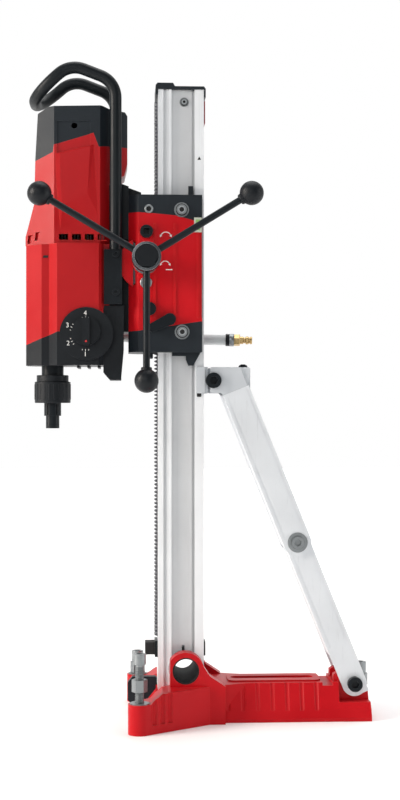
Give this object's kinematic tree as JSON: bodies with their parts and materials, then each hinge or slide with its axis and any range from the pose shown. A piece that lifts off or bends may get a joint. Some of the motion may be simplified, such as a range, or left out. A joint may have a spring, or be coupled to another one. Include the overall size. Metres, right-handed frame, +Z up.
{
  "type": "core drill rig",
  "caption": "Core drill rig: drive unit on a rack-fed carriage with handwheel, tilting aluminium column, telescopic brace and anchor base with levelling screws.",
  "frame": {"origin": "on the floor plane under the middle of the column, at rest with the column upright", "axes": "+Z up along the column; +X from the drill spindle towards the brace; +Y away from the handwheel side"},
  "size_m": [0.5767, 0.3367, 1.0879],
  "materials": {
    "red_coat": "glossy red powder coat over cast aluminium",
    "anodised": "light grey anodised extrusion",
    "cast_grey": "fine blasted cast aluminium",
    "black_plastic": "fine grained glass-filled plastic",
    "black_coat": "black oxide steel",
    "zinc_steel": "zinc plated steel",
    "tool_steel": "oiled machined steel",
    "rubber": "matt moulded rubber",
    "brass": "machined brass",
    "polymer": "low friction polymer",
    "vial": "clear yellow green vial in a white body",
    "copper": "steel laminations with copper windings",
    "red_plastic": "red moulded nylon"
  },
  "bodies": {
    "base": {"base_casting": "red_coat", "pivot_tube": "zinc_steel", "screw_washers": "zinc_steel", "brace_foot_bolts": "black_coat"},
    "near_screw": {"levelling_screw_near": "zinc_steel"},
    "far_screw": {"levelling_screw_far": "zinc_steel"},
    "rear_screw": {"levelling_screw_rear": "zinc_steel"},
    "pointer": {"centre_pointer": "black_plastic"},
    "column": {"rail": "anodised", "rack": "tool_steel", "rail_screws": "zinc_steel", "rail_end_cap": "black_plastic", "rail_foot_cheeks": "cast_grey", "bottom_stop_plate": "zinc_steel", "rubber_stops": "rubber", "brace_bracket": "cast_grey"},
    "brace_lower": {"brace_inner_strut": "anodised"},
    "brace_upper": {"brace_outer_strut": "anodised", "brace_head": "cast_grey", "brace_head_bolts": "black_coat", "brace_clamp_bolts": "zinc_steel"},
    "carriage": {"carriage_housing": "red_coat", "carriage_top_cover": "black_plastic", "carriage_bottom_cover": "black_plastic", "guide_shoes": "polymer", "guide_bolts": "zinc_steel", "level_vial": "vial", "gear_housing": "red_coat", "gear_base_cover": "black_plastic", "dial_plate": "black_plastic", "drive_mount": "black_coat", "motor_housing": "red_plastic", "motor_top_cap": "black_plastic", "motor_stator": "copper", "carbon_brushes": "black_coat", "spindle_neck": "zinc_steel", "ball_bearings": "tool_steel", "bearing_plates": "cast_grey", "handle_tube": "rubber", "handle_brackets": "black_coat", "water_valve": "brass", "water_hose": "rubber", "hose_coupling": "brass", "cord_gland": "rubber"},
    "handwheel": {"feed_pinion_shaft": "tool_steel", "feed_gear": "tool_steel", "handwheel_hub": "black_coat", "handwheel_spokes": "black_coat", "handwheel_knobs": "black_plastic"},
    "fine_feed": {"fine_feed_shaft": "black_coat"},
    "lock_lever": {"carriage_lock_lever": "black_coat"},
    "drive_lock": {"drive_lock_pin": "black_coat"},
    "rotor": {"motor_rotor": "copper"},
    "intermediate": {"intermediate_gear": "tool_steel"},
    "spindle_body": {"spindle": "tool_steel"},
    "chuck": {"chuck_sleeve": "black_coat"},
    "gear_selector": {"gear_knob": "black_plastic"},
    "valve_lever": {"water_valve_lever": "zinc_steel"},
    "switch": {"power_switch": "red_plastic"}
  },
  "joints": [
    {"name": "column_tilt", "type": "hinge", "parent": "base", "child": "column", "pos_m": [0.0067, 0, 0.0881], "axis": [0, 1, 0], "range_deg": [0, 45]},
    {"name": "brace_foot", "type": "hinge", "parent": "base", "child": "brace_lower", "pos_m": [0.2908, 0, 0.0581], "axis": [0, 1, 0], "range_deg": [0, 41.43]},
    {"name": "brace_telescope", "type": "slide", "parent": "brace_lower", "child": "brace_upper", "axis": [0.3762, 0, -0.9265], "range_m": [0, 0.2152]},
    {"name": "carriage_slide", "type": "slide", "parent": "column", "child": "carriage", "axis": [0, 0, 1], "range_m": [-0.465, 0.125]},
    {"name": "handwheel_spin", "type": "hinge", "parent": "carriage", "child": "handwheel", "pos_m": [-0.0596, -0.1, 0.7583], "axis": [0, 1, 0], "range_deg": [-1485, 400]},
    {"name": "fine_feed_spin", "type": "hinge", "parent": "carriage", "child": "fine_feed", "pos_m": [-0.058, -0.05, 0.8093], "axis": [0, 1, 0], "range_deg": [-1200, 4445]},
    {"name": "carriage_lock", "type": "hinge", "parent": "carriage", "child": "lock_lever", "pos_m": [-0.0197, -0.07, 0.6654], "axis": [0, 1, 0], "range_deg": [-60, 0]},
    {"name": "drive_lock", "type": "hinge", "parent": "carriage", "child": "drive_lock", "pos_m": [-0.053, -0.065, 0.683], "axis": [0, 1, 0], "range_deg": [0, 180]},
    {"name": "motor_spin", "type": "hinge", "parent": "carriage", "child": "rotor", "pos_m": [-0.158, 0, 0.85], "axis": [0, 0, 1], "continuous": true},
    {"name": "intermediate_spin", "type": "hinge", "parent": "carriage", "child": "intermediate", "pos_m": [-0.1811, 0.0246, 0.7], "axis": [0, 0, 1], "continuous": true},
    {"name": "spindle_spin", "type": "hinge", "parent": "carriage", "child": "spindle_body", "pos_m": [-0.2142, 0, 0.6], "axis": [0, 0, 1], "continuous": true},
    {"name": "chuck_turn", "type": "hinge", "parent": "spindle_body", "child": "chuck", "pos_m": [-0.2142, 0, 0.55], "axis": [0, 0, 1], "range_deg": [0, 30]},
    {"name": "gear_select", "type": "hinge", "parent": "carriage", "child": "gear_selector", "pos_m": [-0.156, -0.09, 0.6446], "axis": [0, 1, 0], "range_deg": [0, 180]},
    {"name": "water_valve_turn", "type": "hinge", "parent": "carriage", "child": "valve_lever", "pos_m": [-0.147, 0.086, 0.667], "axis": [0, 0, 1], "range_deg": [0, 90]},
    {"name": "switch_rock", "type": "hinge", "parent": "carriage", "child": "switch", "pos_m": [-0.187, 0.063, 0.96], "axis": [1, 0, 0], "range_deg": [0, 8]},
    {"name": "near_screw_turn_in", "type": "slide", "parent": "base", "child": "near_screw", "axis": [0, 0, 1], "range_m": [-0.017, 0.004]},
    {"name": "far_screw_turn_out", "type": "slide", "parent": "base", "child": "far_screw", "axis": [0, 0, 1], "range_m": [0, 0.03]},
    {"name": "rear_screw_turn_out", "type": "slide", "parent": "base", "child": "rear_screw", "axis": [0, 0, 1], "range_m": [0, 0.02]},
    {"name": "pointer_swing", "type": "hinge", "parent": "base", "child": "pointer", "pos_m": [-0.03, 0.0433, 0.052], "axis": [0, 1, 0], "range_deg": [0, 90]}
  ],
  "couplings": [
    {"joint": "brace_foot", "follows": "column_tilt", "ratio": 0.92042},
    {"joint": "brace_telescope", "follows": "column_tilt", "m_per_rad": 0.27392},
    {"joint": "handwheel_spin", "follows": "carriage_slide", "rad_per_m": 55.556},
    {"joint": "fine_feed_spin", "follows": "carriage_slide", "rad_per_m": -166.67},
    {"joint": "intermediate_spin", "follows": "motor_spin", "ratio": -0.28571},
    {"joint": "spindle_spin", "follows": "motor_spin", "ratio": 0.088435}
  ]
}
